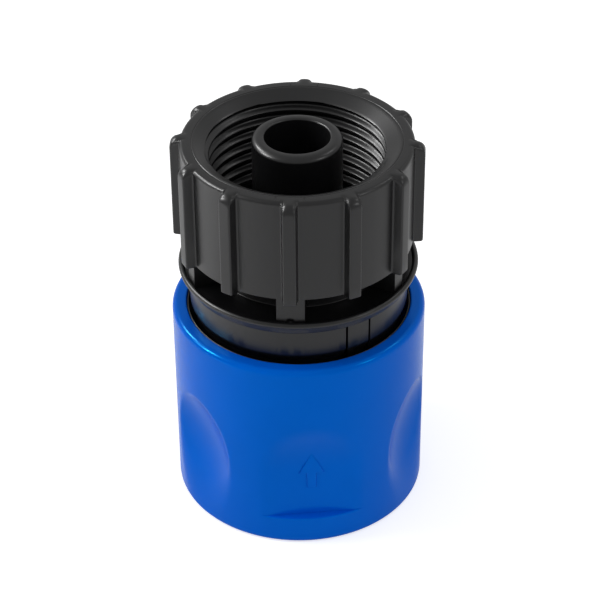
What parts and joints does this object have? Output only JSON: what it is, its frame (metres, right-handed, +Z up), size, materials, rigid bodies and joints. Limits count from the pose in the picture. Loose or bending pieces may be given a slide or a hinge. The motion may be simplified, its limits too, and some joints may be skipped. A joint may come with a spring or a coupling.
{
  "type": "garden hose quick connector",
  "caption": "Garden hose quick connector: ribbed black socket round a hose tail, with a blue sprung sleeve that lifts to release the claws",
  "frame": {"origin": "middle of the sleeve's lower end face, on the surface that the connector stands on", "axes": "+Z up along the water way, from the plug mouth to the hose tail; the arrow on the sleeve faces -Y"},
  "size_m": [0.0375, 0.0374, 0.0598],
  "materials": {
    "black_plastic": "moulded, fine satin",
    "blue_plastic": "moulded, satin",
    "claw_plastic": "moulded, slightly waxy",
    "spring_steel": "drawn wire"
  },
  "bodies": {
    "body": {"body": "black_plastic", "spring": "spring_steel"},
    "sleeve": {"sleeve": "blue_plastic", "sleeve_ring": "black_plastic"},
    "claw_front": {"claw_front": "claw_plastic"},
    "claw_right": {"claw_right": "claw_plastic"},
    "claw_back": {"claw_back": "claw_plastic"},
    "claw_left": {"claw_left": "claw_plastic"}
  },
  "joints": [
    {"name": "sleeve_slide", "type": "slide", "parent": "body", "child": "sleeve", "axis": [0, 0, 1], "range_m": [0, 0.004], "stiffness_N_per_m": 1000, "springref_m": -0.005, "deforming": ["spring"]},
    {"name": "claw_front_slide", "type": "slide", "parent": "body", "child": "claw_front", "axis": [0, -1, 0], "range_m": [0, 0.00125]},
    {"name": "claw_right_slide", "type": "slide", "parent": "body", "child": "claw_right", "axis": [1, 0, 0], "range_m": [0, 0.00125]},
    {"name": "claw_back_slide", "type": "slide", "parent": "body", "child": "claw_back", "axis": [0, 1, 0], "range_m": [0, 0.00125]},
    {"name": "claw_left_slide", "type": "slide", "parent": "body", "child": "claw_left", "axis": [-1, 0, 0], "range_m": [0, 0.00125]}
  ],
  "couplings": [
    {"joint": "claw_front_slide", "follows": "sleeve_slide", "ratio": 0.3125},
    {"joint": "claw_right_slide", "follows": "sleeve_slide", "ratio": 0.3125},
    {"joint": "claw_back_slide", "follows": "sleeve_slide", "ratio": 0.3125},
    {"joint": "claw_left_slide", "follows": "sleeve_slide", "ratio": 0.3125}
  ]
}
